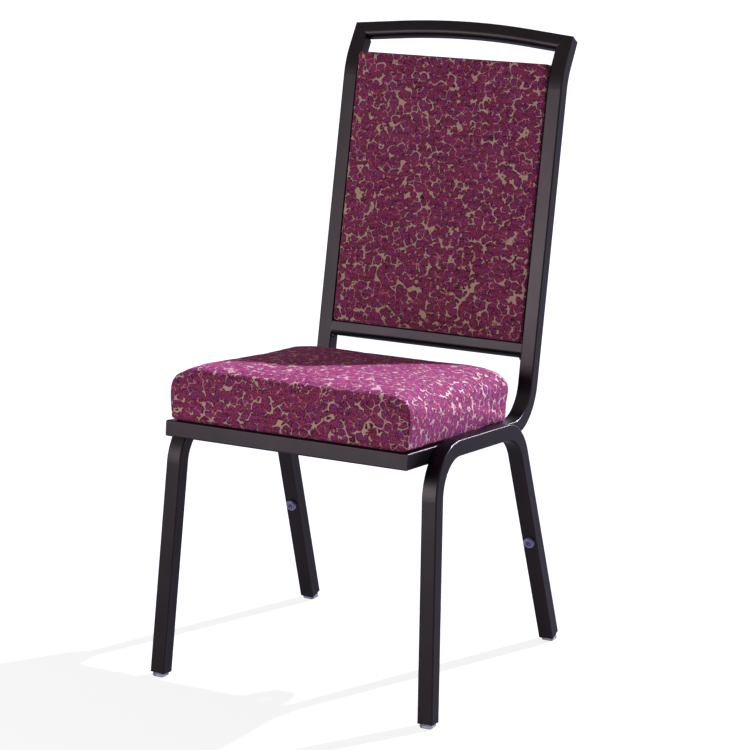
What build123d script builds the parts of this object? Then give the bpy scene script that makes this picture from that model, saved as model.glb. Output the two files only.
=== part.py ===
"""Stacking chair: welded square-tube frame, screwed-on seat and back. Millimetres, +Z up, facing -Y."""
import os
from math import cos, radians, sin, tan

from build123d import *

os.makedirs("parts", exist_ok=True)

# Frame tube
tube = 22.4  # outside of the square tube, coating included
tube_wall = 1.2
tube_corner = 2.0  # outside corner radius
least_bore_corner = 0.3
bend_radius = 63.5  # centre line of the seat and leg bends
rail_round = 9.0  # lower edges of the two back rails

# Seat frame
front_rail_y = -271.0  # front face of the front rail, so that the origin is mid-depth
front_rail_top = 379.2  # height of the front rail's top edge
seat_width = 372.0  # outside of the side tubes at the front
seat_pitch = 5.5  # degrees that the seat falls towards the back
side_taper = 1.2  # degrees that each side closes in towards the back
seat_run = 406.6  # front face to the corner of the seat and back centre lines
rear_rail_inset = 37.0  # rear of the cushion to the front face of the rear seat rail

# Back frame
back_lean = 11.0  # degrees from upright
top_lean = 33.0  # degrees from upright above the upper bend
upright_length = 500.0  # lower to upper corner of the centre line
top_length = 49.5  # upper corner to the centre line of the top rail
top_bend_radius = 100.0
lower_rail_rise = 104.6  # lower corner to the middle of the lower back rail, along the upright
arch_apex = 17.0  # height of the top rail's two slopes where they would meet
arch_radius = 1020.0  # curve that joins them

# Leg frames
leg_splay = 2.3  # degrees that the legs spread sideways
leg_setback = 44.0  # front rail's face to the front leg's face
leg_run = 263.9  # between the leg frame's two corners, along the seat
leg_top_rise = 6.3  # top of the leg frame above the side tube
rear_leg_rake = 24.2  # degrees between front and rear leg
weld_gap = 0.1

# Glides and bumpers
glide_height = 4.5  # lowest edge of each tube above the floor
glide_inset = 1.5
glide_corner = 5.0
glide_spigot = 18.0
glide_clearance = 0.2
glide_edge = 2.5
bumper_diameter = 16.5
bumper_height = 5.0
bumper_edge = 3.0
bumper_dish = 7.0  # across the hollow in its face
bumper_dish_depth = 2.0
bumper_stem = 7.0
bumper_stem_length = 7.0
bumper_clearance = 0.1
bumper_rise = 169.5  # rear tube end to the bumper's middle

# Seat cushion
cloth = 1.2
cushion_front = 1.0  # front rail's face to the fullest part of the cushion
cushion_side = 2.5  # side tube's outer face to the fullest part of the cushion
cushion_overhang = 6.0  # rear of the cushion behind the start of the side tubes' bend
cushion_height = 75.0
cushion_edge = 25.0  # roll of the top edge
cushion_crown = 6.0
cushion_crown_run = 125.0  # the crown is full this far in from the edge
cushion_draw = 6.0  # the sides draw in by this much at the base
front_corner = 10.0
rear_corner = 46.0
least_corner_share = 1 / 3  # of a corner's radius, where the outline is drawn in
seat_wrap = 48.0  # cloth turned under the seat board
seat_board_thickness = 12.0
dust_thickness = 0.8
layer_gap = 0.3  # between soft layers

# Seat fixings
plate_thickness = 2.5
plate_leg = 46.0
fixing_inset = 15.0  # screw to the two tubes beside it
seat_screw = 6.0
seat_head = 10.0  # across its flats
seat_head_height = 4.0
washer_diameter = 14.0
washer_thickness = 1.2
seat_nut_barrel = 8.0
seat_nut_flange = 19.0
nut_flange_thickness = 1.4
screw_tip_gap = 1.0  # tip of each screw below the face of its board
hole_clearance = 0.5

# Back panel
panel_top_rise = 15.8  # top edge of the panel above the upper corner
panel_gap = 1.0  # to the uprights and the lower rail
panel_corner = 6.0
panel_crown = 2.4  # middle of the panel in front of the tubes
panel_crown_run = 40.0  # the crown is full this far in from the edge
panel_edge = 4.0  # roll of the front edge
panel_cloth = 1.0
panel_wrap = 26.0
back_board_thickness = 9.0
back_foam_thickness = 8.6
tab_thickness = 2.5
tab_width = 30.0
tab_length = 32.0
tab_hole_inset = 19.0
tab_spacing = 250.0
back_screw = 5.0
back_head = 9.0
back_nut_barrel = 6.8
back_nut_flange = 15.0
rear_board_thickness = 3.0
rear_cloth = 0.8
clip_stem = 5.6
clip_grip = 3.7  # stem in the back board
clip_flange = 12.0
clip_flange_thickness = 1.0
clip_column_spacing = 180.0
clip_row_spacing = 140.0

# Seat plane: X across, Y back along the seat, Z square to it, from the top front edge of the front rail
seat = Plane(
    origin=(0, front_rail_y, front_rail_top),
    x_dir=(1, 0, 0),
    z_dir=(0, sin(radians(seat_pitch)), cos(radians(seat_pitch))),
)


def seat_point(x, y, z):
    return seat.from_local_coords(Vector(x, y, z))


def seat_direction(x, y, z):
    return seat_point(x, y, z) - seat.origin


def other_side(plane):
    """The plane's mirror image on the left of the chair."""

    def flip(vector):
        return Vector(-vector.X, vector.Y, vector.Z)

    return Plane(origin=flip(plane.origin), x_dir=flip(plane.x_dir), z_dir=flip(plane.z_dir))


# Right side tube's middle plane: X along the side rail, Y square to the seat, Z outwards
taper = radians(side_taper)
side_along = seat_direction(-sin(taper), cos(taper), 0)
side_outwards = seat_direction(cos(taper), sin(taper), 0)
seat_up = seat_direction(0, 0, 1)
side_edge = seat_point(seat_width / 2, 0, 0)
side = Plane(origin=side_edge - side_outwards * (tube / 2), x_dir=side_along, z_dir=side_outwards)
side_face = side.offset(-tube / 2)

# Corners of the side tube's centre line
upright_angle = radians(90 - back_lean + seat_pitch)
top_angle = radians(90 - top_lean + seat_pitch)
bend_start = seat_run - bend_radius * tan(upright_angle / 2)
lower_corner = Vector(seat_run, -tube / 2)
upper_corner = lower_corner + Vector(cos(upright_angle), sin(upright_angle)) * upright_length
top_corner = upper_corner + Vector(cos(top_angle), sin(top_angle)) * top_length
top_joint = side.from_local_coords(top_corner)
top_axis = (side.from_local_coords(top_corner) - side.from_local_coords(upper_corner)).normalized()
back_foot = side.from_local_coords(lower_corner)

# Back plane: X across, Y up along the uprights, Z forwards, from the lower corner
back = Plane(
    origin=(0, back_foot.Y, back_foot.Z),
    x_dir=(1, 0, 0),
    z_dir=(0, -cos(radians(back_lean)), sin(radians(back_lean))),
)

# Top plane: the same above the upper bend, from the top rail's joints
top = Plane(
    origin=(0, top_joint.Y, top_joint.Z),
    x_dir=(1, 0, 0),
    z_dir=(0, -cos(radians(top_lean)), sin(radians(top_lean))),
)
arch_inwards = (top.from_local_coords(Vector(0, arch_apex)) - top_joint).normalized()

# Mitres: the front one faces the side tube, the top one faces the upright
mitre_angle = radians(45 + side_taper / 2)
front_mitre = Plane(
    origin=side_edge,
    x_dir=seat_up,
    z_dir=seat_direction(cos(mitre_angle), sin(mitre_angle), 0),
)
top_mitre = Plane(origin=top_joint, z_dir=-(top_axis + arch_inwards))

# Right leg frame's middle plane: X along the side rail, Y up the front leg, Z outwards
splay = radians(leg_splay)
leg_outwards = side_outwards * cos(splay) + seat_up * sin(splay)
leg_seam = side_edge - seat_up * tube_corner + side_outwards * weld_gap
leg = Plane(origin=leg_seam + leg_outwards * (tube / 2), x_dir=side_along, z_dir=leg_outwards)
leg_run_level = leg_top_rise + tube_corner - tube / 2
front_knee = Vector(leg_setback + tube / 2, leg_run_level)
rear_knee = front_knee + Vector(leg_run, 0)
rake = radians(rear_leg_rake)


def leg_end(knee, angle):
    """Where a leg's centre line ends, so that the lowest edge of its tube is at the glide's height."""
    along = leg.from_local_coords(Vector(sin(angle), -cos(angle))) - leg.origin
    across = leg.from_local_coords(Vector(cos(angle), sin(angle))) - leg.origin
    drop = (abs(across.Z) + abs(leg_outwards.Z)) * tube / 2
    start = leg.from_local_coords(knee)
    length = (start.Z - glide_height - drop) / -along.Z
    return knee + Vector(sin(angle), -cos(angle)) * length


front_end = leg_end(front_knee, 0)
rear_end = leg_end(rear_knee, rake)


def leg_section(end, angle):
    """Plane across a leg's tube end, Z down the leg, X outwards."""
    down = leg.from_local_coords(Vector(sin(angle), -cos(angle))) - leg.origin
    return Plane(origin=leg.from_local_coords(end), x_dir=leg_outwards, z_dir=down)


# Plane on the front face of the rear leg, Z forwards, X outwards
leg_forwards = Vector(-cos(rake), -sin(rake))
bumper_point = rear_end + Vector(-sin(rake), cos(rake)) * bumper_rise + leg_forwards * (tube / 2)
bumper_plane = Plane(
    origin=leg.from_local_coords(bumper_point),
    x_dir=leg_outwards,
    z_dir=leg.from_local_coords(leg_forwards) - leg.origin,
)

# Ends of the cushion, rear seat rail and back panel
cushion_rear = bend_start + cushion_overhang
rear_rail_setback = cushion_rear - rear_rail_inset
panel_bottom = lower_rail_rise + tube / 2
panel_top = upright_length + panel_top_rise
panel_middle = (panel_bottom + panel_top) / 2


def inner_half_width(plane, height, depth):
    """Half the distance between the uprights' inner faces at a point of a plane across the back."""
    start = plane.from_local_coords(Vector(0, height, depth))
    return (side_face.origin - start).dot(side_outwards) / side_outwards.X


# Sections and outlines, drawn in the current sketch
tube_bore = tube - 2 * tube_wall
bore_corner = max(tube_corner - tube_wall, least_bore_corner)


def tube_section():
    RectangleRounded(tube, tube, tube_corner)
    RectangleRounded(tube_bore, tube_bore, bore_corner, mode=Mode.SUBTRACT)


def back_rail_section():
    """Square tube with rounded lower edges, Y up."""
    Rectangle(tube, tube)
    fillet(vertices().group_by(Axis.Y)[-1], tube_corner)
    fillet(vertices().group_by(Axis.Y)[0], rail_round)
    offset(amount=-tube_wall, mode=Mode.SUBTRACT)


def seat_outline(inset):
    """The cushion's outline, drawn in by an amount, with tight front and wide rear corners."""
    start = cushion_front + inset
    end = cushion_rear - inset
    front_half = seat_width / 2 - cushion_side - start * tan(taper) - inset
    rear_half = seat_width / 2 - cushion_side - end * tan(taper) - inset
    Polygon((-front_half, start), (front_half, start), (rear_half, end), (-rear_half, end), align=None)
    fillet(vertices().group_by(Axis.Y)[0], max(front_corner - inset, front_corner * least_corner_share))
    fillet(vertices().group_by(Axis.Y)[-1], max(rear_corner - inset, rear_corner * least_corner_share))


def panel_outline(inset):
    """The back panel's outline between the uprights, drawn in by an amount."""
    low = panel_bottom + panel_gap + inset
    high = panel_top - inset
    low_half = inner_half_width(back, low, 0) - panel_gap - inset
    high_half = inner_half_width(back, high, 0) - panel_gap - inset
    Polygon((-low_half, low), (low_half, low), (high_half, high), (-high_half, high), align=None)
    fillet(vertices(), max(panel_corner - inset, panel_corner * least_corner_share))


def save(builder, name):
    builder.part.label = name
    export_step(builder.part, f"parts/{name}.step")


# Side tubes
with BuildPart() as right_side_tube:
    with BuildLine(side) as side_path:
        start = Vector(-tube, -tube / 2)
        end = top_corner + Vector(cos(top_angle), sin(top_angle)) * tube
        points = [side.from_local_coords(point) for point in (start, lower_corner, upper_corner, end)]
        FilletPolyline(*points, radius=(bend_radius, top_bend_radius))
    with BuildSketch(Plane(origin=side_path.line @ 0, x_dir=side_outwards, z_dir=side_path.line % 0)):
        tube_section()
    sweep(path=side_path.line)
    split(bisect_by=front_mitre, keep=Keep.TOP)
    split(bisect_by=top_mitre, keep=Keep.TOP)
save(right_side_tube, "right_side_tube")

with BuildPart() as left_side_tube:
    mirror(right_side_tube.part, about=Plane.YZ)
save(left_side_tube, "left_side_tube")

# Front rail, mitred to the side tubes
with BuildPart() as front_rail:
    with BuildSketch(Plane(origin=seat_point(0, tube / 2, -tube / 2), x_dir=seat_up, z_dir=(1, 0, 0))):
        tube_section()
    extrude(amount=seat_width, both=True)
    split(bisect_by=front_mitre, keep=Keep.BOTTOM)
    split(bisect_by=other_side(front_mitre), keep=Keep.BOTTOM)
save(front_rail, "front_rail")

# Rear seat rail, between the side tubes
with BuildPart() as rear_seat_rail:
    rear_middle = seat_point(0, rear_rail_setback + tube / 2, -tube / 2)
    with BuildSketch(Plane(origin=rear_middle, x_dir=seat_up, z_dir=(1, 0, 0))):
        tube_section()
    extrude(amount=seat_width, both=True)
    split(bisect_by=side_face, keep=Keep.BOTTOM)
    split(bisect_by=other_side(side_face), keep=Keep.BOTTOM)
save(rear_seat_rail, "rear_seat_rail")

# Lower back rail, flush with the uprights
with BuildPart() as lower_back_rail:
    rail_middle = back.from_local_coords(Vector(0, lower_rail_rise))
    with BuildSketch(Plane(origin=rail_middle, x_dir=-back.z_dir, z_dir=(1, 0, 0))):
        back_rail_section()
    extrude(amount=seat_width, both=True)
    split(bisect_by=side_face, keep=Keep.BOTTOM)
    split(bisect_by=other_side(side_face), keep=Keep.BOTTOM)
save(lower_back_rail, "lower_back_rail")

# Top rail, arched and mitred to the uprights
with BuildPart() as top_rail:
    with BuildLine(top) as arch:
        slope = arch_apex / top_joint.X
        FilletPolyline(
            (-top_joint.X - tube, -slope * tube),
            (0, arch_apex),
            (top_joint.X + tube, -slope * tube),
            radius=arch_radius,
        )
    with BuildSketch(Plane(origin=arch.line @ 0, x_dir=-top.z_dir, z_dir=arch.line % 0)):
        back_rail_section()
    sweep(path=arch.line)
    split(bisect_by=top_mitre, keep=Keep.BOTTOM)
    split(bisect_by=other_side(top_mitre), keep=Keep.BOTTOM)
save(top_rail, "top_rail")

# Leg frames, with a hole for the bumper's stem
with BuildPart() as right_leg_frame:
    with BuildLine(leg) as leg_path:
        points = [leg.from_local_coords(point) for point in (front_end, front_knee, rear_knee, rear_end)]
        FilletPolyline(*points, radius=bend_radius)
    with BuildSketch(Plane(origin=leg_path.line @ 0, x_dir=leg_outwards, z_dir=leg_path.line % 0)):
        tube_section()
    sweep(path=leg_path.line)
    with BuildSketch(bumper_plane):
        Circle(bumper_stem / 2 + bumper_clearance)
    extrude(amount=-tube / 2, mode=Mode.SUBTRACT)
save(right_leg_frame, "right_leg_frame")

with BuildPart() as left_leg_frame:
    mirror(right_leg_frame.part, about=Plane.YZ)
save(left_leg_frame, "left_leg_frame")


# Glides: a spigot in the tube and a foot cut level with the floor
def make_glide(section, name):
    with BuildPart() as right_glide:
        with BuildSketch(section):
            RectangleRounded(tube - 2 * glide_inset, tube - 2 * glide_inset, glide_corner)
        extrude(amount=tube)
        split(bisect_by=Plane.XY, keep=Keep.TOP)
        fillet(faces().sort_by(Axis.Z)[0].edges(), glide_edge)
        with BuildSketch(section):
            RectangleRounded(tube_bore - 2 * glide_clearance, tube_bore - 2 * glide_clearance, bore_corner)
        extrude(amount=-glide_spigot)
    save(right_glide, f"{name}_right_glide")
    with BuildPart() as left_glide:
        mirror(right_glide.part, about=Plane.YZ)
    save(left_glide, f"{name}_left_glide")


make_glide(leg_section(front_end, 0), "front")
make_glide(leg_section(rear_end, rake), "rear")

# Stacking bumpers: a rounded button with a dished face, on a stem
dish_radius = (bumper_dish**2 / 4 + bumper_dish_depth**2) / (2 * bumper_dish_depth)
with BuildPart() as right_stack_bumper:
    with BuildSketch(bumper_plane):
        Circle(bumper_diameter / 2)
    extrude(amount=bumper_height)
    fillet(faces().sort_by(Axis(bumper_plane.origin, bumper_plane.z_dir))[-1].edges(), bumper_edge)
    with Locations(bumper_plane.offset(bumper_height + dish_radius - bumper_dish_depth)):
        Sphere(dish_radius, mode=Mode.SUBTRACT)
    with BuildSketch(bumper_plane):
        Circle(bumper_stem / 2)
    extrude(amount=-bumper_stem_length)
save(right_stack_bumper, "right_stack_bumper")

with BuildPart() as left_stack_bumper:
    mirror(right_stack_bumper.part, about=Plane.YZ)
save(left_stack_bumper, "left_stack_bumper")


# Seat fixings: a plate in each corner of the seat frame, with a screw in its middle
def side_inner(y):
    """Inner face of the right side tube, at a distance back along the seat."""
    return seat_width / 2 - y * tan(taper) - tube / cos(taper)


front_screw_y = tube + fixing_inset
rear_screw_y = rear_rail_setback - fixing_inset
seat_screw_points = []
for sign in (1, -1):
    seat_screw_points.append((sign * (side_inner(front_screw_y) - fixing_inset), front_screw_y))
    seat_screw_points.append((sign * (side_inner(rear_screw_y) - fixing_inset), rear_screw_y))

with BuildPart() as seat_corner_plates:
    with BuildSketch(seat):
        for sign in (1, -1):
            for corner_y, way in ((tube, 1), (rear_rail_setback, -1)):
                far_y = corner_y + way * plate_leg
                Polygon(
                    (sign * side_inner(corner_y), corner_y),
                    (sign * (side_inner(corner_y) - plate_leg), corner_y),
                    (sign * side_inner(far_y), far_y),
                    align=None,
                )
        with Locations(*seat_screw_points):
            Circle((seat_screw + hole_clearance) / 2, mode=Mode.SUBTRACT)
    extrude(amount=-plate_thickness)
save(seat_corner_plates, "seat_corner_plates")

with BuildPart() as seat_washers:
    with BuildSketch(seat.offset(-plate_thickness)):
        with Locations(*seat_screw_points):
            Circle(washer_diameter / 2)
            Circle((seat_screw + hole_clearance) / 2, mode=Mode.SUBTRACT)
    extrude(amount=-washer_thickness)
save(seat_washers, "seat_washers")

board_top = cloth + seat_board_thickness
screw_level = seat.offset(-plate_thickness - washer_thickness)
with BuildPart() as seat_screws:
    with BuildSketch(screw_level):
        with Locations(*seat_screw_points):
            Circle(seat_screw / 2)
    extrude(amount=plate_thickness + washer_thickness + board_top - screw_tip_gap)
    with BuildSketch(screw_level):
        with Locations(*seat_screw_points):
            RegularPolygon(seat_head / 2, 6, major_radius=False)
    extrude(amount=-seat_head_height)
save(seat_screws, "seat_screws")

nut_hole = seat_nut_barrel + hole_clearance
with BuildPart() as seat_tee_nuts:
    with BuildSketch(seat.offset(board_top)):
        with Locations(*seat_screw_points):
            Circle(seat_nut_flange / 2)
    extrude(amount=-nut_flange_thickness)
    with BuildSketch(seat.offset(board_top)):
        with Locations(*seat_screw_points):
            Circle(seat_nut_barrel / 2)
    extrude(amount=-seat_board_thickness)
    with BuildSketch(seat.offset(board_top)):
        with Locations(*seat_screw_points):
            Circle(seat_screw / 2)
    extrude(amount=-seat_board_thickness, mode=Mode.SUBTRACT)
save(seat_tee_nuts, "seat_tee_nuts")


# Seat cushion: its sides swell from the base, roll over at the top edge and rise to a crown
side_rises = (0, 0.2, 0.45, 0.7)  # shares of the side's height
roll_turns = (0, 30, 55, 75, 90)  # degrees round an edge's roll
crown_steps = ((0.6, 0.5), (1, 1))  # shares of the crown's height and run


def cushion_levels(shrink):
    """Each level's height and draw-in, with the form taken in by one thickness of cloth or more."""
    side_height = cushion_height - cushion_edge
    levels = [(side_height * rise, cushion_draw * (1 - rise) ** 2) for rise in side_rises]
    for turn in roll_turns:
        height = side_height + cushion_edge * sin(radians(turn))
        levels.append((height, cushion_edge * (1 - cos(radians(turn)))))
    for rise, run in crown_steps:
        levels.append((cushion_height + cushion_crown * rise, cushion_crown_run * run))
    return [(max(height - shrink, shrink), inset + shrink) for height, inset in levels]


with BuildPart() as seat_cover:
    for height, inset in cushion_levels(0):
        with BuildSketch(seat.offset(height)):
            seat_outline(inset)
    loft(ruled=True)
    for height, inset in cushion_levels(cloth):
        with BuildSketch(seat.offset(height)):
            seat_outline(inset)
    loft(ruled=True, mode=Mode.SUBTRACT)
    with BuildSketch(seat):
        seat_outline(seat_wrap)
    extrude(amount=2 * cloth, mode=Mode.SUBTRACT)
    with BuildSketch(seat):
        with Locations(*seat_screw_points):
            Circle(nut_hole / 2)
    extrude(amount=2 * cloth, mode=Mode.SUBTRACT)
save(seat_cover, "seat_cover")

with BuildPart() as seat_board:
    with BuildSketch(seat.offset(cloth)):
        seat_outline(cushion_draw + cloth + layer_gap)
        with Locations(*seat_screw_points):
            Circle(nut_hole / 2, mode=Mode.SUBTRACT)
    extrude(amount=seat_board_thickness)
    with BuildSketch(seat.offset(board_top)):
        with Locations(*seat_screw_points):
            Circle(seat_nut_flange / 2 + hole_clearance)
    extrude(amount=-nut_flange_thickness, mode=Mode.SUBTRACT)
save(seat_board, "seat_board")

with BuildPart() as seat_foam:
    for height, inset in cushion_levels(cloth + layer_gap):
        with BuildSketch(seat.offset(height)):
            seat_outline(inset)
    loft(ruled=True)
    split(bisect_by=seat.offset(board_top), keep=Keep.TOP)
save(seat_foam, "seat_foam")

with BuildPart() as seat_dust_cover:
    with BuildSketch(seat.offset(cloth)):
        seat_outline(seat_wrap + hole_clearance)
        with Locations(*seat_screw_points):
            Circle(nut_hole / 2, mode=Mode.SUBTRACT)
    extrude(amount=-dust_thickness)
save(seat_dust_cover, "seat_dust_cover")

# Back panel: depths are forwards from the uprights' middle
panel_front = tube / 2 + panel_crown
foam_front = panel_front - panel_cloth
board_front = foam_front - back_foam_thickness
board_rear = board_front - back_board_thickness
tab_front = board_rear - panel_cloth
tab_rear = tab_front - tab_thickness
tab_points = []
back_screw_points = []
for height in (panel_middle - tab_spacing / 2, panel_middle + tab_spacing / 2):
    half = inner_half_width(back, height, tab_rear)
    for sign in (1, -1):
        tab_points.append((sign * half, height))
        back_screw_points.append((sign * (half - tab_hole_inset), height))


def panel_levels(shrink):
    """Depth and draw-in of the panel's levels, from its rear face to its crown."""
    levels = [(tab_front, 0)]
    for turn in roll_turns:
        depth = tube / 2 - panel_edge * (1 - sin(radians(turn)))
        levels.append((depth, panel_edge * (1 - cos(radians(turn)))))
    for rise, run in crown_steps:
        levels.append((tube / 2 + panel_crown * rise, panel_crown_run * run))
    return [(max(depth - shrink, tab_front + shrink), inset + shrink) for depth, inset in levels]


with BuildPart() as back_cover:
    for depth, inset in panel_levels(0):
        with BuildSketch(back.offset(depth)):
            panel_outline(inset)
    loft(ruled=True)
    for depth, inset in panel_levels(panel_cloth):
        with BuildSketch(back.offset(depth)):
            panel_outline(inset)
    loft(ruled=True, mode=Mode.SUBTRACT)
    with BuildSketch(back.offset(tab_front)):
        panel_outline(panel_wrap)
        with Locations(*back_screw_points):
            Circle((back_nut_barrel + hole_clearance) / 2)
    extrude(amount=2 * panel_cloth, mode=Mode.SUBTRACT)
save(back_cover, "back_cover")

clip_points = []
for x in (-clip_column_spacing / 2, clip_column_spacing / 2):
    for row in (-1, 0, 1):
        clip_points.append((x, panel_middle + row * clip_row_spacing))

with BuildPart() as back_board:
    with BuildSketch(back.offset(board_rear)):
        panel_outline(panel_cloth + layer_gap)
        with Locations(*back_screw_points):
            Circle((back_nut_barrel + hole_clearance) / 2, mode=Mode.SUBTRACT)
        with Locations(*clip_points):
            Circle((clip_stem + hole_clearance) / 2, mode=Mode.SUBTRACT)
    extrude(amount=back_board_thickness)
    with BuildSketch(back.offset(board_front)):
        with Locations(*back_screw_points):
            Circle(back_nut_flange / 2 + hole_clearance)
    extrude(amount=-nut_flange_thickness, mode=Mode.SUBTRACT)
save(back_board, "back_board")

with BuildPart() as back_foam:
    for depth, inset in panel_levels(panel_cloth + layer_gap):
        with BuildSketch(back.offset(depth)):
            panel_outline(inset)
    loft(ruled=True)
    split(bisect_by=back.offset(board_front), keep=Keep.TOP)
save(back_foam, "back_foam")

head_height = (back_head - back_screw) / 2
with BuildPart() as back_tabs:
    with BuildSketch(back.offset(tab_front)):
        with Locations(*tab_points):
            Rectangle(2 * tab_length, tab_width)
        with Locations(*back_screw_points):
            Circle((back_screw + hole_clearance) / 2, mode=Mode.SUBTRACT)
    extrude(amount=-tab_thickness)
    with BuildSketch(back.offset(tab_rear)):
        with Locations(*back_screw_points):
            Circle((back_head + hole_clearance) / 2)
    extrude(amount=head_height, taper=45, mode=Mode.SUBTRACT)
    split(bisect_by=side_face, keep=Keep.BOTTOM)
    split(bisect_by=other_side(side_face), keep=Keep.BOTTOM)
save(back_tabs, "back_tabs")

with BuildPart() as back_screws:
    with BuildSketch(back.offset(tab_rear)):
        with Locations(*back_screw_points):
            Circle(back_screw / 2)
    extrude(amount=tab_thickness + panel_cloth + back_board_thickness - screw_tip_gap)
    with BuildSketch(back.offset(tab_rear)):
        with Locations(*back_screw_points):
            Circle(back_head / 2)
    extrude(amount=head_height, taper=45)
save(back_screws, "back_screws")

with BuildPart() as back_tee_nuts:
    with BuildSketch(back.offset(board_front)):
        with Locations(*back_screw_points):
            Circle(back_nut_flange / 2)
    extrude(amount=-nut_flange_thickness)
    with BuildSketch(back.offset(board_front)):
        with Locations(*back_screw_points):
            Circle(back_nut_barrel / 2)
    extrude(amount=-back_board_thickness)
    with BuildSketch(back.offset(board_front)):
        with Locations(*back_screw_points):
            Circle(back_screw / 2)
    extrude(amount=-back_board_thickness, mode=Mode.SUBTRACT)
save(back_tee_nuts, "back_tee_nuts")

# Rear panel: a thin board in cloth, clipped to the back board behind the tabs
rear_front = tab_rear - layer_gap
with BuildPart() as back_rear_board:
    with BuildSketch(back.offset(rear_front)):
        panel_outline(rear_cloth + layer_gap)
    extrude(amount=-rear_board_thickness)
save(back_rear_board, "back_rear_board")

with BuildPart() as back_rear_cover:
    with BuildSketch(back.offset(rear_front)):
        panel_outline(0)
    extrude(amount=-rear_board_thickness - rear_cloth)
    with BuildSketch(back.offset(rear_front)):
        panel_outline(rear_cloth)
    extrude(amount=-rear_board_thickness, mode=Mode.SUBTRACT)
save(back_rear_cover, "back_rear_cover")

with BuildPart() as back_panel_clips:
    with BuildSketch(back.offset(rear_front)):
        with Locations(*clip_points):
            Circle(clip_flange / 2)
    extrude(amount=clip_flange_thickness)
    with BuildSketch(back.offset(rear_front)):
        with Locations(*clip_points):
            Circle(clip_stem / 2)
    extrude(amount=board_rear - rear_front + clip_grip)
save(back_panel_clips, "back_panel_clips")
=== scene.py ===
import math

import bpy
from mathutils import Matrix, Vector


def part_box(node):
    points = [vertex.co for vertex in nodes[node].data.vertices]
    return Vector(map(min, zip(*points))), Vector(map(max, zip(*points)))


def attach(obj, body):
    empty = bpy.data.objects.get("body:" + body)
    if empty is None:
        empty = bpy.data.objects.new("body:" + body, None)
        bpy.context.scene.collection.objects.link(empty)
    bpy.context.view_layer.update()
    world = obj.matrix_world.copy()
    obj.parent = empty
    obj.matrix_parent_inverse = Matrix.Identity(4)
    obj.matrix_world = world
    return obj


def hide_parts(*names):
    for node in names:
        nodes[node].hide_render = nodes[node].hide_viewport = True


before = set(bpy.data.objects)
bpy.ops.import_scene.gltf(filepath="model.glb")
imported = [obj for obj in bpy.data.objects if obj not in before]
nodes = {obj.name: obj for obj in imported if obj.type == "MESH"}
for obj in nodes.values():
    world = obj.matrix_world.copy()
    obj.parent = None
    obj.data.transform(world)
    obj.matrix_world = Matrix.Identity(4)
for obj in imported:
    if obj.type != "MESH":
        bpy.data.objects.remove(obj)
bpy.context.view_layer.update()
scene = bpy.context.scene
print("chair: frame loaded,", len(nodes), "nodes")


def hexColour(code):  # sRGB hex to the linear values that sockets take
    values = [int(code[i:i + 2], 16) / 255 for i in (1, 3, 5)]
    return [v / 12.92 if v <= 0.04045 else ((v + 0.055) / 1.055) ** 2.4 for v in values] + [1.0]


def addNode(tree, kind, settings, links={}):  # a socket goes by its name or number, a link is (node, output)
    node = tree.nodes.new(kind)
    for name, value in settings.items():
        if isinstance(name, str) and hasattr(node, name):
            setattr(node, name, value)
        else:
            node.inputs[name].default_value = value
    for name, (source, output) in links.items():
        tree.links.new(source.outputs[output], node.inputs[name])
    return node


def startMaterial(name, surface):  # shader, output and Object coordinates counted in millimetres
    material = bpy.data.materials.new(name)
    material.use_nodes = True
    tree = material.node_tree
    tree.nodes.clear()
    shader = addNode(tree, "ShaderNodeBsdfPrincipled", surface)
    addNode(tree, "ShaderNodeOutputMaterial", {}, {"Surface": (shader, "BSDF")})
    place = addNode(tree, "ShaderNodeTexCoord", {})
    inMm = addNode(tree, "ShaderNodeMapping", {"Scale": (1000, 1000, 1000)}, {"Vector": (place, "Object")})
    return material, tree, shader, inMm


def addNoise(tree, place, size, detail):  # size in millimetres
    return addNode(tree, "ShaderNodeTexNoise", {"Scale": 1 / size, "Detail": detail}, {"Vector": (place, "Vector")})


def addMath(tree, operation, first, second):  # of two links
    return addNode(tree, "ShaderNodeMath", {"operation": operation}, {0: first, 1: second})


def ramp(tree, source, start=(0, 1), end=(0, 1)):  # carries a value from one range to another, and holds it at the ends
    return addNode(tree, "ShaderNodeMapRange", {"From Min": start[0], "From Max": start[1],
                                                "To Min": end[0], "To Max": end[1]}, {"Value": source})


def blend(tree, share, first, second):  # two colours, each a hex code or a link
    settings, links = {"data_type": "RGBA"}, {0: share}
    for socket, colour in ((6, first), (7, second)):
        if isinstance(colour, str):
            settings[socket] = hexColour(colour)
        else:
            links[socket] = colour
    return addNode(tree, "ShaderNodeMix", settings, links)


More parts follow.
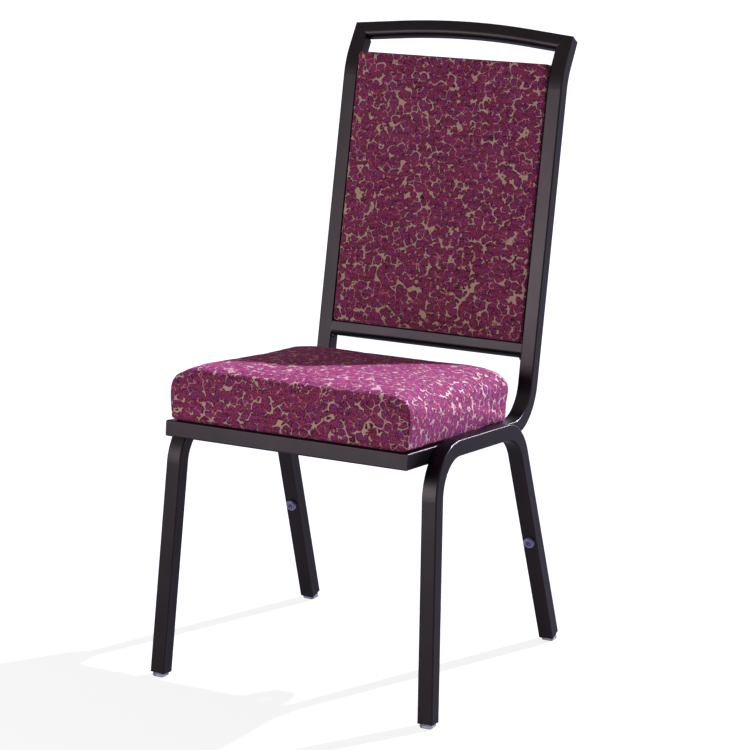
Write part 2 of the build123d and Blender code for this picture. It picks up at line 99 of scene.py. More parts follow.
# Jacquard upholstery cloth, a woven plum ground with broken tan crackle: matt, with a pink sheen at low angles
cloth = {
    "ground": "#883854", "violet": "#823568", "deep": "#35111a",
    "fleck": "#987b6b", "hairline": "#b07a76", "outline": "#301319",
    "cell": 10.8,  # mm across one cell of the crackle
    "stray": 6.0, "wander": 2.2,  # mm over which its lines stray, and how far
    "cornerFar": (0.48, 0.82), "cornerWidth": (-0.06, 0.118),  # in cells, from the middle, and a fleck's width there
    "patch": 9.0, "patchLevel": (0.41, 0.55), "patchWidth": (-0.18, 0.05),  # mm, noise level, width that it adds
    "fleckEdge": (-0.015, 0.025), "rimEdge": (-0.11, -0.05), "rimShare": 0.95,  # edges in cells
    "hairPatch": 8.0, "hairLevel": (0.50, 0.58), "hairWidth": (-0.03, 0.038),
    "hairEdge": (-0.01, 0.02), "hairShare": 0.8,
    "hue": 9.0, "hueLevel": (0.42, 0.6),
    "grit": 1.5, "gritLevel": (0.48, 0.88), "streak": (0.02, 0.3, 0.3), "streakShare": 0.35,
    "thread": 1.7,  # mm between ribs, drawn coarser than the real 0.6 so that it shows
    "waveAtOne": 0.314,  # mm between the ribs of a wave of scale 1
    "raise": 1.2,  # of a fleck, in ribs
    "sheen": 0.14, "sheenTint": "#ff78c8",
    "lustre": (0.02, 0.13), "roughness": (0.85, 0.7),  # of the ground, and of the flecks
}
upholstery, tree, shader, inMm = startMaterial("jacquardUpholstery", {
    "Sheen Weight": cloth["sheen"], "Sheen Roughness": 0.4, "Sheen Tint": hexColour(cloth["sheenTint"])})
stray = addNoise(tree, inMm, cloth["stray"], 2.0)
strayCentred = addNode(tree, "ShaderNodeVectorMath", {"operation": "SUBTRACT", 1: (0.5, 0.5, 0.5)},
                       {0: (stray, "Color")})
strayed = addNode(tree, "ShaderNodeVectorMath", {"operation": "MULTIPLY_ADD", 1: (cloth["wander"] * 2,) * 3},
                  {0: (strayCentred, "Vector"), 2: (inMm, "Vector")})
edgeFar, seedFar = [addNode(tree, "ShaderNodeTexVoronoi", {"feature": feature, "Scale": 1 / cloth["cell"]},
                            {"Vector": (strayed, "Vector")}) for feature in ("DISTANCE_TO_EDGE", "F1")]
# a fleck is wide where cells meet, thin along their sides, and missing where the patchy noise is low
patchy = addNoise(tree, inMm, cloth["patch"], 0.5)
reach = ramp(tree, (seedFar, "Distance"), cloth["cornerFar"], cloth["cornerWidth"])
broken = ramp(tree, (patchy, "Fac"), cloth["patchLevel"], cloth["patchWidth"])
fleckWidth = addMath(tree, "ADD", (reach, "Result"), (broken, "Result"))
inside = addMath(tree, "SUBTRACT", (fleckWidth, "Value"), (edgeFar, "Distance"))
fleckMask = ramp(tree, (inside, "Value"), cloth["fleckEdge"])
rimMask = ramp(tree, (inside, "Value"), cloth["rimEdge"], (0, cloth["rimShare"]))
# hairlines follow other lengths of the same cell sides
hairPatchy = addNoise(tree, strayed, cloth["hairPatch"], 0.5)
hairWidth = ramp(tree, (hairPatchy, "Fac"), cloth["hairLevel"], cloth["hairWidth"])
hairInside = addMath(tree, "SUBTRACT", (hairWidth, "Result"), (edgeFar, "Distance"))
hairMask = ramp(tree, (hairInside, "Value"), cloth["hairEdge"], (0, cloth["hairShare"]))
hueNoise = addNoise(tree, inMm, cloth["hue"], 2.0)
hueShare = ramp(tree, (hueNoise, "Fac"), cloth["hueLevel"])
grit = addNoise(tree, inMm, cloth["grit"], 1.0)
acrossThreads = addNode(tree, "ShaderNodeMapping", {"Scale": cloth["streak"]}, {"Vector": (inMm, "Vector")})
streak = addNoise(tree, acrossThreads, 1.0, 2.0)
gritStreak = addNode(tree, "ShaderNodeMath", {"operation": "MULTIPLY_ADD", 1: cloth["streakShare"]},
                     {0: (streak, "Fac"), 2: (grit, "Fac")})
gritShare = ramp(tree, (gritStreak, 0), cloth["gritLevel"])
ground = blend(tree, (hueShare, "Result"), cloth["ground"], cloth["violet"])
gritty = blend(tree, (gritShare, "Result"), (ground, 2), cloth["deep"])
rimmed = blend(tree, (rimMask, "Result"), (gritty, 2), cloth["outline"])
haired = blend(tree, (hairMask, "Result"), (rimmed, 2), cloth["hairline"])
flecked = blend(tree, (fleckMask, "Result"), (haired, 2), cloth["fleck"])
tree.links.new(flecked.outputs[2], shader.inputs["Base Color"])
# the flecks are floats of a bright yarn, so they turn silvery in a strong light
lustre = ramp(tree, (fleckMask, "Result"), end=cloth["lustre"])
tree.links.new(lustre.outputs["Result"], shader.inputs["Specular IOR Level"])
smoother = ramp(tree, (fleckMask, "Result"), end=cloth["roughness"])
tree.links.new(smoother.outputs["Result"], shader.inputs["Roughness"])
ribs = [addNode(tree, "ShaderNodeTexWave", {"bands_direction": direction, "Distortion": 0.6,
                                            "Scale": cloth["waveAtOne"] / cloth["thread"]},
                {"Vector": (inMm, "Vector")}) for direction in ("X", "Y", "Z")]  # so that every face shows a grid
ribPair = addMath(tree, "ADD", (ribs[0], "Fac"), (ribs[1], "Fac"))
ribGrid = addMath(tree, "ADD", (ribPair, 0), (ribs[2], "Fac"))
raised = addNode(tree, "ShaderNodeMath", {"operation": "MULTIPLY_ADD", 1: cloth["raise"]},
                 {0: (fleckMask, "Result"), 2: (ribGrid, 0)})
weave = addNode(tree, "ShaderNodeBump", {"Strength": 0.35, "Distance": 0.0004}, {"Height": (raised, 0)})
tree.links.new(weave.outputs["Normal"], shader.inputs["Normal"])

# Satin powder coat with dark bronze flake on steel tube: brown-grey where it catches the light, near black elsewhere,
# with a fine orange peel that softens its reflections
coat = {"colour": "#1f1b1d", "lighter": "#252123", "edge": "#ccccd2", "roughness": (0.29, 0.37),
        "peel": 1.6, "mottle": 45.0}  # mm
frameCoating, tree, shader, inMm = startMaterial("satinFlakePowderCoat", {
    "Metallic": 1.0, "Specular Tint": hexColour(coat["edge"])})
mottle = addNoise(tree, inMm, coat["mottle"], 3.0)
tone = blend(tree, (mottle, "Fac"), coat["colour"], coat["lighter"])
tree.links.new(tone.outputs[2], shader.inputs["Base Color"])
peel = addNoise(tree, inMm, coat["peel"], 1.0)
peelBump = addNode(tree, "ShaderNodeBump", {"Strength": 0.08, "Distance": 0.0003}, {"Height": (peel, "Fac")})
tree.links.new(peelBump.outputs["Normal"], shader.inputs["Normal"])
gloss = ramp(tree, (peel, "Fac"), end=coat["roughness"])
tree.links.new(gloss.outputs["Result"], shader.inputs["Roughness"])

# Clear polycarbonate with a violet tint, moulded: bright edges and a slightly cloudy body
glide = {"colour": "#9a96b2", "cloud": "#6a6686", "cloudSize": 5.0}  # mm
glidePlastic, tree, shader, inMm = startMaterial("clearVioletPolycarbonate", {
    "Roughness": 0.12, "IOR": 1.58, "Transmission Weight": 0.65})
glideCloud = addNoise(tree, inMm, glide["cloudSize"], 3.0)
glideTone = blend(tree, (glideCloud, "Fac"), glide["colour"], glide["cloud"])
tree.links.new(glideTone.outputs[2], shader.inputs["Base Color"])

# Clear polyethylene with a violet tint, moulded: a cloudy rim that shows the dark tube, and deep violet in the hollow,
# which is partly the dark stem seen through it and partly painted shade
bumper = {"rim": "#7773a0", "cloud": "#454268", "hollow": "#221a58", "cloudSize": 4.0,  # mm, as are the next two
          "middle": (196.5, 90.4, 163.7), "hollowReach": (3.6, 4.6)}  # of the right one's face; the left one mirrors it
bumperPlastic, tree, shader, inMm = startMaterial("clearVioletPolyethylene", {
    "Roughness": 0.25, "IOR": 1.51, "Transmission Weight": 0.35})
bumperCloud = addNoise(tree, inMm, bumper["cloudSize"], 2.0)
rimTone = blend(tree, (bumperCloud, "Fac"), bumper["rim"], bumper["cloud"])
# the middle of each face is painted deep violet: the dark stem seen through the hole, with painted shade in the hollow
mirrored = addNode(tree, "ShaderNodeVectorMath", {"operation": "ABSOLUTE"}, {0: (inMm, "Vector")})
fromMiddle = addNode(tree, "ShaderNodeVectorMath", {"operation": "DISTANCE", 1: bumper["middle"]},
                     {0: (mirrored, "Vector")})
onRim = ramp(tree, (fromMiddle, "Value"), bumper["hollowReach"])
bumperTone = blend(tree, (onRim, "Result"), bumper["hollow"], (rimTone, 2))
tree.links.new(bumperTone.outputs[2], shader.inputs["Base Color"])

# Zinc-plated steel, pressed and turned: pale grey metal with faint cloudy spangle
zincSteel, tree, shader, inMm = startMaterial("zincPlatedSteel", {"Metallic": 1.0})
spangle = addNoise(tree, inMm, 3.0, 4.0)
plating = blend(tree, (spangle, "Fac"), "#b4b8bc", "#d2d4d2")
tree.links.new(plating.outputs[2], shader.inputs["Base Color"])
dulled = ramp(tree, (spangle, "Fac"), end=(0.28, 0.45))
tree.links.new(dulled.outputs["Result"], shader.inputs["Roughness"])

# Birch plywood: pale, with long grain across the chair
birchPly, tree, shader, inMm = startMaterial("birchPlywood", {"Roughness": 0.6})
alongGrain = addNode(tree, "ShaderNodeMapping", {"Scale": (0.06, 1, 1)}, {"Vector": (inMm, "Vector")})
grain = addNoise(tree, alongGrain, 4.0, 5.0)
wood = blend(tree, (grain, "Fac"), "#c9a876", "#e0c79a")
tree.links.new(wood.outputs[2], shader.inputs["Base Color"])

# Cut polyurethane foam: pale cream, with open cells
cutFoam, tree, shader, inMm = startMaterial("polyurethaneFoam", {"Roughness": 0.95})
cells = addNode(tree, "ShaderNodeTexVoronoi", {"Scale": 1 / 1.5}, {"Vector": (inMm, "Vector")})
foamTone = blend(tree, (cells, "Distance"), "#d8cfa8", "#efe8cc")
tree.links.new(foamTone.outputs[2], shader.inputs["Base Color"])

# Hardboard: pressed brown fibre
pressedBoard, tree, shader, inMm = startMaterial("hardboard", {"Roughness": 0.7})
boardFibre = addNoise(tree, inMm, 2.0, 6.0)
boardTone = blend(tree, (boardFibre, "Fac"), "#4c3524", "#6d4e36")
tree.links.new(boardTone.outputs[2], shader.inputs["Base Color"])

# Spunbonded polypropylene dust cloth: black and fibrous, with a pressed dot pattern
dustCloth, tree, shader, inMm = startMaterial("spunbondPolypropylene", {"Roughness": 0.8, "Sheen Weight": 0.15})
dustFibre = addNoise(tree, inMm, 1.5, 4.0)
dustTone = blend(tree, (dustFibre, "Fac"), "#141416", "#2a2a2d")
tree.links.new(dustTone.outputs[2], shader.inputs["Base Color"])
dots = addNode(tree, "ShaderNodeTexVoronoi", {"Scale": 1 / 3.0, "Randomness": 0.0}, {"Vector": (inMm, "Vector")})
dotBump = addNode(tree, "ShaderNodeBump", {"Strength": 0.4, "Distance": 0.0003}, {"Height": (dots, "Distance")})
tree.links.new(dotBump.outputs["Normal"], shader.inputs["Normal"])

# Black nylon, moulded: dull, with a fine spark-eroded grain
blackNylon, tree, shader, inMm = startMaterial("blackNylon", {"Roughness": 0.5, "IOR": 1.53})
sparkGrain = addNoise(tree, inMm, 0.8, 2.0)
nylonTone = blend(tree, (sparkGrain, "Fac"), "#161618", "#202024")
tree.links.new(nylonTone.outputs[2], shader.inputs["Base Color"])

finishes = {
    "front_rail": frameCoating, "rear_seat_rail": frameCoating, "top_rail": frameCoating,
    "lower_back_rail": frameCoating, "left_side_tube": frameCoating, "right_side_tube": frameCoating,
    "left_leg_frame": frameCoating, "right_leg_frame": frameCoating, "seat_corner_plates": frameCoating,
    "back_tabs": frameCoating,
    "front_left_glide": glidePlastic, "front_right_glide": glidePlastic, "rear_left_glide": glidePlastic,
    "rear_right_glide": glidePlastic, "left_stack_bumper": bumperPlastic, "right_stack_bumper": bumperPlastic,
    "seat_tee_nuts": zincSteel, "seat_screws": zincSteel, "seat_washers": zincSteel, "back_tee_nuts": zincSteel,
    "back_screws": zincSteel, "seat_board": birchPly, "back_board": birchPly, "back_rear_board": pressedBoard,
    "seat_foam": cutFoam, "back_foam": cutFoam, "seat_dust_cover": dustCloth, "back_panel_clips": blackNylon,
    "seat_cover": upholstery, "back_cover": upholstery, "back_rear_cover": upholstery,
}


def dress(obj, material):
    obj.data.materials.clear()
    obj.data.materials.append(material)


for name, material in finishes.items():
    dress(nodes[name], material)
print("chair: materials on", len(finishes), "nodes")


def addBlock(name, size, centre):  # a cube at its size and place, ready for edit mode
    bpy.ops.object.select_all(action="DESELECT")
    bpy.ops.mesh.primitive_cube_add(size=1, location=(0, 0, 0))
    block = bpy.context.object
    block.name = block.data.name = name
    bpy.ops.object.mode_set(mode="EDIT")
    bpy.ops.transform.resize(value=size)
    bpy.ops.transform.translate(value=centre)
    bpy.ops.object.mode_set(mode="OBJECT")
    return block


near, hair = 0.001, 0.00001  # m, how close to a place counts as there, and less than any step in a piece


def pick(obj, kind, test):  # leaves obj in edit mode with the parts that pass the test selected
    bpy.ops.object.mode_set(mode="EDIT")
    bpy.ops.mesh.select_mode(type=kind)
    bpy.ops.mesh.select_all(action="DESELECT")
    bpy.ops.object.mode_set(mode="OBJECT")
    points = obj.data.vertices
    if kind == "VERT":
        for point in points:
            point.select = test(point.co)
    elif kind == "EDGE":
        for edge in obj.data.edges:
            edge.select = test(points[edge.vertices[0]].co, points[edge.vertices[1]].co)
    else:
        for face in obj.data.polygons:
            face.select = test(face.center, face.normal)
    bpy.ops.object.mode_set(mode="EDIT")


def useModifier(obj, kind, **settings):
    bpy.ops.object.mode_set(mode="OBJECT")
    bpy.context.view_layer.objects.active = obj
    modifier = obj.modifiers.new(kind.lower(), kind)
    for name, value in settings.items():
        setattr(modifier, name, value)
    bpy.ops.object.modifier_apply(modifier=modifier.name)


def puff(obj, held, pressure, frames, cap):  # cloth swells the form, and no point moves further than cap
    group = obj.vertex_groups.new(name="held")
    group.add([v.index for v in obj.data.vertices if held(v.co)], 1.0, "REPLACE")
    start = [v.co.copy() for v in obj.data.vertices]
    bpy.context.view_layer.objects.active = obj
    puffing = obj.modifiers.new("puffing", "CLOTH")
    puffing.settings.use_pressure = True
    puffing.settings.uniform_pressure_force = pressure
    puffing.settings.effector_weights.gravity = 0
    puffing.settings.vertex_group_mass = "held"
    puffing.point_cache.frame_end = frames
    for step in range(1, frames + 1):
        scene.frame_set(step)
    bpy.ops.object.modifier_apply(modifier=puffing.name)
    scene.frame_set(1)
    for v, was in zip(obj.data.vertices, start):
        move = v.co - was
        if move.length > 1e-9:
            v.co = was + move * (cap * math.tanh(move.length / cap) / move.length)
    obj.vertex_groups.clear()


def settle(obj, origin, tilt):  # turns the finished piece into the chair's frame, with its place in its mesh
    bpy.ops.object.mode_set(mode="OBJECT")
    bpy.ops.object.select_all(action="DESELECT")
    obj.select_set(True)
    bpy.context.view_layer.objects.active = obj
    obj.rotation_euler = (math.radians(tilt), 0, 0)
    obj.location = origin
    bpy.ops.object.transform_apply(location=True, rotation=True, scale=True)


# Seat cushion, made flat in the seat's own frame: X across, Y from the front rail's face back, Z up from the tubes
seat = {  # metres and degrees
    "origin": (0, -0.271, 0.3792), "pitch": 5.5,
    "front": 0.001, "rear": 0.3549, "fullHalf": 0.1858, "frontHalf": 0.1836, "rearHalf": 0.1762, "height": 0.0745,
    "base": 0.0036,  # the sides draw in by this much at the base
    "turnUnder": 0.0046,  # round where the cloth turns under the board
    "frontRoll": 0.009, "sideRoll": 0.026, "frontCorner": 0.004, "rearCorner": 0.034, "crown": 0.004, "crownRun": 0.07,
    "rollShares": (0.2, 0.4, 0.58, 0.74, 0.86, 0.94, 0.985, 1.0, 1.1, 1.2),  # up the edge's roll, then to the crown
    "slump": (0.002, 0, -0.004), "slumpReach": (0.012, 0.03, 0.016), "slumpSize": 0.03,
    "offMiddle": 0.05,  # the front corners' edges lie further out than this
    "voxel": 0.0039, "pressure": 4.0, "frames": 20, "cap": 0.003, "seam": 0.006, "heldBelow": 0.003,
    "wrapFront": 0.0495, "wrapRear": 0.3064, "wrapFrontHalf": 0.134, "wrapRearHalf": 0.1286, "wrapDepth": 0.0013,
    "wrapBelow": 0.002,
}
middle = (seat["front"] + seat["rear"]) / 2
long = seat["rear"] - seat["front"]
wall = seat["height"] - seat["sideRoll"]


def rollInset(radius, rise):  # how far an edge's roll has drawn in at a height
    above = max(rise - seat["height"] + radius, 0)
    return radius - math.sqrt(max(radius * radius - above * above, 0))


cushion = addBlock("seatCushion", (2 * seat["frontHalf"], long, wall), (0, middle, wall / 2))
pick(cushion, "VERT", lambda p: p.y > middle)
bpy.ops.transform.resize(value=(seat["rearHalf"] / seat["frontHalf"], 1, 1), center_override=(0, middle, 0))
pick(cushion, "FACE", lambda c, n: n.z > 0.9)
low, sides, front, rear = wall, 0, 0, 0  # the level reached, and how far each edge has drawn in there
for share in seat["rollShares"]:
    crowned = max(share - 1, 0) * 5
    rise = seat["height"] - seat["sideRoll"] * (1 - min(share, 1)) + seat["crown"] * crowned
    further = seat["crownRun"] * crowned
    sidesNext = rollInset(seat["sideRoll"], min(rise, seat["height"])) + further
    frontNext = rollInset(seat["frontRoll"], min(rise, seat["height"])) + further
    bpy.ops.mesh.extrude_region_move(TRANSFORM_OT_translate={"value": (0, 0, rise - low)})
    bpy.ops.transform.resize(value=((seat["frontHalf"] - sidesNext) / (seat["frontHalf"] - sides), 1, 1),
                             center_override=(0, 0, 0))
    bpy.ops.transform.resize(value=(1, (long - frontNext - rear) / (long - front - rear), 1),
                             center_override=(0, seat["rear"] - rear, 0))
    bpy.ops.transform.resize(value=(1, (long - frontNext - sidesNext) / (long - frontNext - rear), 1),
                             center_override=(0, seat["front"] + frontNext, 0))
    low, sides, front, rear = rise, sidesNext, frontNext, sidesNext
pick(cushion, "VERT", lambda p: p.z < near)
bpy.ops.transform.resize(value=(1 - seat["base"] / seat["frontHalf"], 1 - 2 * seat["base"] / long, 1),
                         center_override=(0, middle, 0))
pick(cushion, "EDGE", lambda a, b: max(a.z, b.z) < near)
bpy.ops.mesh.bevel(offset=seat["turnUnder"], segments=3, affect="EDGES")
pick(cushion, "EDGE", lambda a, b: abs(a.z - b.z) > hair and min(a.y, b.y) > middle)
bpy.ops.mesh.bevel(offset=seat["rearCorner"], segments=8, affect="EDGES", clamp_overlap=False)
pick(cushion, "EDGE", lambda a, b: abs(a.z - b.z) > hair and max(a.y, b.y) < middle
     and min(abs(a.x), abs(b.x)) > seat["offMiddle"])
bpy.ops.mesh.bevel(offset=seat["frontCorner"], segments=4, affect="EDGES", clamp_overlap=False)
bpy.ops.object.mode_set(mode="OBJECT")
useModifier(cushion, "REMESH", mode="VOXEL", voxel_size=seat["voxel"])
puff(cushion, lambda p: p.z < seat["heldBelow"] or p.y < seat["front"] + seat["seam"]
     and (abs(p.x) > seat["frontHalf"] - seat["seam"] or p.z > seat["height"] - seat["seam"]),
     seat["pressure"], seat["frames"], seat["cap"])  # held at the base and along the front panel's seams
useModifier(cushion, "SUBSURF", levels=1, render_levels=1)
widest = max(abs(v.co.x) for v in cushion.data.vertices)
pick(cushion, "VERT", lambda p: True)
bpy.ops.transform.resize(value=(seat["fullHalf"] / widest, 1, 1), center_override=(0, 0, 0))  # swelling draws it in
across, along, down = seat["slumpReach"]
pick(cushion, "VERT", lambda p: p.x < -seat["fullHalf"] + across and p.y < seat["front"] + along
     and p.z > seat["height"] - down)
bpy.ops.transform.translate(value=seat["slump"], use_proportional_edit=True, proportional_edit_falloff="SMOOTH",
                            proportional_size=seat["slumpSize"])  # its front left corner has slumped
wrapSlope = (seat["wrapFrontHalf"] - seat["wrapRearHalf"]) / (seat["wrapRear"] - seat["wrapFront"])
pick(cushion, "VERT", lambda p: p.z < seat["wrapBelow"] and seat["wrapFront"] < p.y < seat["wrapRear"]
     and abs(p.x) < seat["wrapFrontHalf"] - wrapSlope * (p.y - seat["wrapFront"]))
bpy.ops.transform.translate(value=(0, 0, seat["wrapDepth"]))  # the cloth turned under stops short of the middle
settle(cushion, seat["origin"], -seat["pitch"])
bpy.ops.object.shade_smooth()
dress(cushion, upholstery)
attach(cushion, "root")
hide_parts("seat_cover", "seat_foam")
print("chair: seat cushion,", len(cushion.data.polygons), "faces")

# Back pad, made flat in the back's own frame: X across, Y up the uprights, Z forwards from their middle
back = {  # metres and degrees
    "origin": (0, 0.13233, 0.32911), "lean": 11.0,
    "low": 0.1159, "high": 0.5154, "rear": -0.0058, "front": 0.0152,
    "edge": 0.0030, "rollSteps": ((0.6, 0.2), (0.3, 0.35), (0.1, 0.45)), "corner": 0.002,
    "crown": 0.0006, "crownSteps": (0.6, 0.4), "crownShare": (0.85, 0.92, 1),
    "voxel": 0.0035, "pressure": 4.0, "frames": 16, "cap": 0.0018, "seam": 0.004, "heldBehind": 0.004,
}
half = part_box("back_cover")[1].x
centre = (back["low"] + back["high"]) / 2
halfHigh = centre - back["low"]
pad = addBlock("backPad", (2 * half, 2 * halfHigh, back["front"] - back["edge"] - back["rear"]),
               (0, centre, (back["front"] - back["edge"] + back["rear"]) / 2))
pick(pad, "EDGE", lambda a, b: abs(a.z - b.z) > 0.01)
bpy.ops.mesh.bevel(offset=back["corner"], segments=4, affect="EDGES")
pick(pad, "FACE", lambda c, n: n.z > 0.99)
drawn = 0
for rise, inset in back["rollSteps"]:  # shares of the edge's roll
    bpy.ops.mesh.extrude_region_move(TRANSFORM_OT_translate={"value": (0, 0, rise * back["edge"])})
    further = drawn + inset * back["edge"]
    bpy.ops.transform.resize(value=((half - further) / (half - drawn), (halfHigh - further) / (halfHigh - drawn), 1),
                             center_override=(0, centre, 0))
    drawn = further
for share in back["crownSteps"]:  # then on to the crown
    bpy.ops.mesh.extrude_region_move(TRANSFORM_OT_translate={"value": (0, 0, share * back["crown"])})
    bpy.ops.transform.resize(value=back["crownShare"], center_override=(0, centre, 0))
bpy.ops.object.mode_set(mode="OBJECT")
useModifier(pad, "REMESH", mode="VOXEL", voxel_size=back["voxel"])
puff(pad, lambda p: p.z < back["heldBehind"] or abs(p.x) > half - back["seam"]
     or abs(p.y - centre) > halfHigh - back["seam"],
     back["pressure"], back["frames"], back["cap"])  # held at the board and along its edges
useModifier(pad, "SUBSURF", levels=1, render_levels=1)
pick(pad, "VERT", lambda p: True)
bpy.ops.transform.resize(value=(half / max(v.co.x for v in pad.data.vertices),
                                halfHigh / (max(v.co.y for v in pad.data.vertices) - centre), 1),
                         center_override=(0, centre, 0))  # smoothing draws its edges in
settle(pad, back["origin"], 90 - back["lean"])
bpy.ops.object.shade_smooth()
dress(pad, upholstery)
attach(pad, "root")
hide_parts("back_cover", "back_foam")
print("chair: back pad,", len(pad.data.polygons), "faces")

# Dust sheet in the recess under the seat, stretched across it
dust = {"gap": 0.0005, "low": 0.0005, "thick": 0.0006, "corner": 0.012, "cuts": 5, "smooth": 40,
        "sag": 0.0003, "sagAcross": 1.5, "sagAlong": 12}  # the last two in radians to the edge, and to the metre
bpy.ops.object.select_all(action="DESELECT")
bpy.ops.mesh.primitive_plane_add(size=1, location=(0, 0, 0))
sheet = bpy.context.object
sheet.name = sheet.data.name = "dustSheet"
bpy.ops.object.mode_set(mode="EDIT")
bpy.ops.transform.resize(value=(2 * (seat["wrapFrontHalf"] - dust["gap"]),
                                seat["wrapRear"] - seat["wrapFront"] - 2 * dust["gap"], 1))
bpy.ops.transform.translate(value=(0, (seat["wrapFront"] + seat["wrapRear"]) / 2, dust["low"]))
pick(sheet, "VERT", lambda p: p.y > middle)
bpy.ops.transform.resize(value=(seat["wrapRearHalf"] / seat["wrapFrontHalf"], 1, 1), center_override=(0, 0, 0))
bpy.ops.mesh.select_all(action="SELECT")
bpy.ops.mesh.bevel(offset=dust["corner"], segments=4, affect="VERTICES")
bpy.ops.mesh.select_all(action="SELECT")
bpy.ops.mesh.quads_convert_to_tris()
bpy.ops.mesh.subdivide(number_cuts=dust["cuts"])
bpy.ops.mesh.tris_convert_to_quads()
bpy.ops.object.mode_set(mode="OBJECT")
for v in sheet.data.vertices:  # it sags a little between its edges
    v.co.z -= (dust["sag"] * math.cos(v.co.x / seat["wrapFrontHalf"] * dust["sagAcross"])
               * math.sin((v.co.y - seat["wrapFront"]) * dust["sagAlong"]))
useModifier(sheet, "SOLIDIFY", thickness=dust["thick"], offset=1.0)
settle(sheet, seat["origin"], -seat["pitch"])
bpy.ops.object.shade_smooth_by_angle(angle=math.radians(dust["smooth"]))
dress(sheet, dustCloth)
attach(sheet, "root")
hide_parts("seat_dust_cover")
print("chair: dust sheet,", len(sheet.data.polygons), "faces")

# Rear panel's cover, stretched over its board with its edges turned forwards
rearPanel = {"front": -0.0090, "face": -0.0126, "edge": 0.0022, "thick": 0.0008, "corner": 0.006,
             "crown": 0.0006, "rings": 3, "ringShare": 0.88, "turned": 0.007, "close": 0.0005, "smooth": 50}
bpy.ops.object.select_all(action="DESELECT")
bpy.ops.mesh.primitive_plane_add(size=1, location=(0, 0, 0))
rearCover = bpy.context.object
rearCover.name = rearCover.data.name = "rearPanelCover"
bpy.ops.object.mode_set(mode="EDIT")
bpy.ops.transform.resize(value=(2 * half, back["high"] - back["low"], 1))
bpy.ops.transform.translate(value=(0, centre, rearPanel["front"]))
bpy.ops.mesh.bevel(offset=rearPanel["corner"], segments=4, affect="VERTICES")
bpy.ops.mesh.select_all(action="SELECT")
bpy.ops.mesh.extrude_region_move(TRANSFORM_OT_translate={"value": (0, 0, rearPanel["face"] - rearPanel["front"])})
pick(rearCover, "FACE", lambda c, n: abs(n.z) > 0.9 and c.z > rearPanel["front"] - rearPanel["close"])
bpy.ops.mesh.delete(type="FACE")  # open at the front, where the board goes in
pick(rearCover, "EDGE", lambda a, b: max(a.z, b.z) < rearPanel["face"] + rearPanel["close"])
bpy.ops.mesh.bevel(offset=rearPanel["edge"], segments=3, affect="EDGES")
pick(rearCover, "FACE", lambda c, n: abs(n.z) > 0.99)
for ring in range(rearPanel["rings"]):  # each a little prouder
    bpy.ops.mesh.extrude_region_move(TRANSFORM_OT_translate={"value": (0, 0, -rearPanel["crown"] / rearPanel["rings"])})
    bpy.ops.transform.resize(value=(rearPanel["ringShare"], rearPanel["ringShare"], 1), center_override=(0, centre, 0))
bpy.ops.mesh.select_all(action="SELECT")
bpy.ops.mesh.normals_make_consistent(inside=False)
useModifier(rearCover, "SOLIDIFY", thickness=rearPanel["thick"], offset=-1.0)
settle(rearCover, back["origin"], 90 - back["lean"])
bpy.ops.object.shade_smooth_by_angle(angle=math.radians(rearPanel["smooth"]))
dress(rearCover, upholstery)
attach(rearCover, "root")
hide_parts("back_rear_cover")
print("chair: rear panel cover,", len(rearCover.data.polygons), "faces")

# Welds at the lower back rail's ends, ground flush in front and hollow below, in the back's own frame
weldFill = {"middle": 0.1046, "tube": 0.0224, "inner": 0.1551, "lap": 0.0022, "lowerRound": 0.009, "corner": 0.002,
            "flare": 0.0035, "steps": (0.0008, 0.0019), "sink": 0.995, "smooth": 40}


def weldDrop(along):  # how far the hollow weld reaches below the rail, at a distance from the upright
    return weldFill["flare"] - math.sqrt(max(weldFill["flare"] ** 2 - (weldFill["flare"] - along) ** 2, 0))


for side, sign in (("left", -1), ("right", 1)):
    weld = addBlock(side + "RailWeld", (weldFill["lap"], weldFill["tube"], weldFill["tube"]),
                    (sign * (weldFill["inner"] + weldFill["lap"] / 2), weldFill["middle"], 0))
    pick(weld, "EDGE", lambda a, b: abs(a.x - b.x) > near and max(a.y, b.y) < weldFill["middle"])
    bpy.ops.mesh.bevel(offset=weldFill["lowerRound"], segments=6, affect="EDGES")
    pick(weld, "EDGE", lambda a, b: abs(a.x - b.x) > near and min(a.y, b.y) > weldFill["middle"] + 0.01)
    bpy.ops.mesh.bevel(offset=weldFill["corner"], segments=3, affect="EDGES")
    pick(weld, "VERT", lambda p: p.y < weldFill["middle"] and p.z > 0)
    bpy.ops.transform.translate(value=(0, -weldFill["flare"], 0))
    reached = 0
    for along in weldFill["steps"] + (weldFill["flare"],):
        pick(weld, "FACE", lambda c, n: n.x * sign < -0.9)
        bpy.ops.mesh.extrude_region_move(TRANSFORM_OT_translate={"value": (sign * (reached - along), 0, 0)})
        bpy.ops.transform.resize(value=(1, weldFill["sink"], weldFill["sink"]),
                                 center_override=(0, weldFill["middle"], 0))  # sinks into the rail
        pick(weld, "VERT", lambda p: abs(abs(p.x) - weldFill["inner"] + along) < hair
             and p.y < weldFill["middle"] and p.z > 0)
        bpy.ops.transform.translate(value=(0, weldDrop(reached) - weldDrop(along), 0))
        reached = along
    settle(weld, back["origin"], 90 - back["lean"])
    bpy.ops.object.shade_smooth_by_angle(angle=math.radians(weldFill["smooth"]))
    dress(weld, frameCoating)
    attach(weld, "root")
print("chair: rail welds")

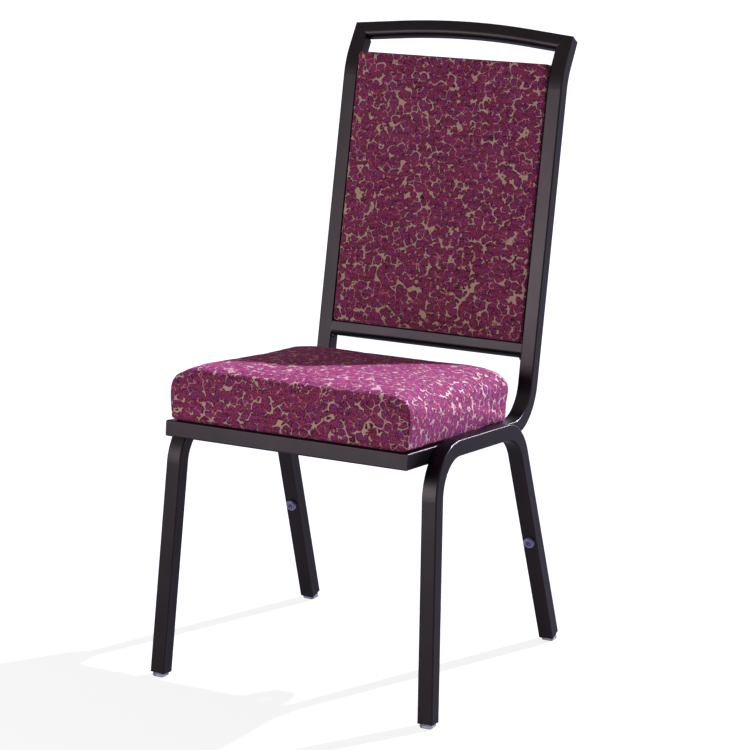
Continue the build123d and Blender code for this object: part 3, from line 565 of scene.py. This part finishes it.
# Camera where the photograph was taken, in degrees, metres and, for the lens and sensor, millimetres
view = {"azimuth": 27.88, "elevation": 13.35, "roll": 0.5, "place": (1.7836, -3.3841, 1.3162),
        "lens": 132.96, "sensor": 36, "clipEnd": 200}
azimuth, elevation, roll = (math.radians(view[k]) for k in ("azimuth", "elevation", "roll"))
backwards = Vector((math.sin(azimuth) * math.cos(elevation), -math.cos(azimuth) * math.cos(elevation),
                    math.sin(elevation)))
level = Vector((math.cos(azimuth), math.sin(azimuth), 0))
upright = backwards.cross(level)
rightwards = level * math.cos(roll) + upright * math.sin(roll)
upwards = backwards.cross(rightwards)
bpy.ops.object.camera_add(location=view["place"])
camera = bpy.context.object
camera.rotation_euler = Matrix((rightwards, upwards, backwards)).transposed().to_euler()
camera.data.lens = view["lens"]
camera.data.sensor_width = view["sensor"]
camera.data.clip_end = view["clipEnd"]
scene.camera = camera

# Floor and light: a hard cool key from behind on the right, a soft box in front on the left, a dimmer surround, and a
# lamp that only reflections show, for the bright lines along the top edges of the tubes
studio = {"keyPlace": (2, 2, 2), "keyTowards": (0.355, 0.660, 0.650), "keyStrength": 15.4, "keyAngle": 1.5,
          "keyColour": "#d8d3ff",
          "softPlace": (-1.1, -2.72, 0.85), "softTowards": (0, 0, 0.55), "softSize": (1.2, 1.2), "softPower": 52.0,
          "edgePlace": (1, 3, 2), "edgeTowards": (0.30, 0.86, 0.41), "edgeStrength": 12.0, "edgeAngle": 3.0,
          "surround": 0.33, "floor": 40.0, "floorDim": 0.25, "floorPale": 0.9, "floorGlow": 0.85}


def seenRays(tree):  # 1 for a ray that shows the background: to the camera, off a gloss or through glass
    rays = addNode(tree, "ShaderNodeLightPath", {})
    direct = addMath(tree, "ADD", (rays, "Is Camera Ray"), (rays, "Is Glossy Ray"))
    return addNode(tree, "ShaderNodeMath", {"operation": "ADD", "use_clamp": True},
                   {0: (direct, 0), 1: (rays, "Is Transmission Ray")})


def addSun(place, towards, strength, angle):
    bpy.ops.object.light_add(type="SUN", location=place)
    sun = bpy.context.object
    sun.rotation_euler = Vector(towards).to_track_quat("Z", "Y").to_euler()
    sun.data.energy = strength
    sun.data.angle = math.radians(angle)
    return sun


bpy.ops.mesh.primitive_plane_add(size=studio["floor"], location=(0, 0, 0))
floor = bpy.context.object
floor.name = "floor"
floorPaint = bpy.data.materials.new("paleFloor")
floorPaint.use_nodes = True
tree = floorPaint.node_tree
tree.nodes.clear()
seen = seenRays(tree)
dim, pale = ((studio[k],) * 3 + (1,) for k in ("floorDim", "floorPale"))
paint = addNode(tree, "ShaderNodeMix", {"data_type": "RGBA", 6: dim, 7: pale}, {0: (seen, 0)})
matt = addNode(tree, "ShaderNodeBsdfDiffuse", {}, {"Color": (paint, 2)})
glow = addNode(tree, "ShaderNodeEmission", {"Strength": 1.0})
glowShare = addNode(tree, "ShaderNodeMath", {"operation": "MULTIPLY", 1: studio["floorGlow"]}, {0: (seen, 0)})
lit = addNode(tree, "ShaderNodeMixShader", {}, {0: (glowShare, 0), 1: (matt, 0), 2: (glow, 0)})
facing = addNode(tree, "ShaderNodeNewGeometry", {})  # so that the floor is clear from below
clear = addNode(tree, "ShaderNodeBsdfTransparent", {})
oneSided = addNode(tree, "ShaderNodeMixShader", {}, {0: (facing, "Backfacing"), 1: (lit, 0), 2: (clear, 0)})
addNode(tree, "ShaderNodeOutputMaterial", {}, {"Surface": (oneSided, 0)})
dress(floor, floorPaint)

world = bpy.data.worlds.new("studio")
scene.world = world
world.use_nodes = True
tree = world.node_tree
tree.nodes.clear()
strength = ramp(tree, (seenRays(tree), 0), end=(studio["surround"], 1.0))
sky = addNode(tree, "ShaderNodeBackground", {"Color": (1, 1, 1, 1)}, {"Strength": (strength, 0)})
addNode(tree, "ShaderNodeOutputWorld", {}, {"Surface": (sky, 0)})

key = addSun(studio["keyPlace"], studio["keyTowards"], studio["keyStrength"], studio["keyAngle"])
key.data.color = hexColour(studio["keyColour"])[:3]
bpy.ops.object.light_add(type="AREA", location=studio["softPlace"])
softBox = bpy.context.object
softFrom = Vector(studio["softPlace"]) - Vector(studio["softTowards"])
softBox.rotation_euler = softFrom.to_track_quat("Z", "Y").to_euler()
softBox.data.shape = "RECTANGLE"
softBox.data.size, softBox.data.size_y = studio["softSize"]
softBox.data.energy = studio["softPower"]
edgeSun = addSun(studio["edgePlace"], studio["edgeTowards"], studio["edgeStrength"], studio["edgeAngle"])
edgeSun.visible_diffuse = False
edgeSun.visible_transmission = False

scene.view_settings.view_transform = "Standard"
print("chair: scene ready")
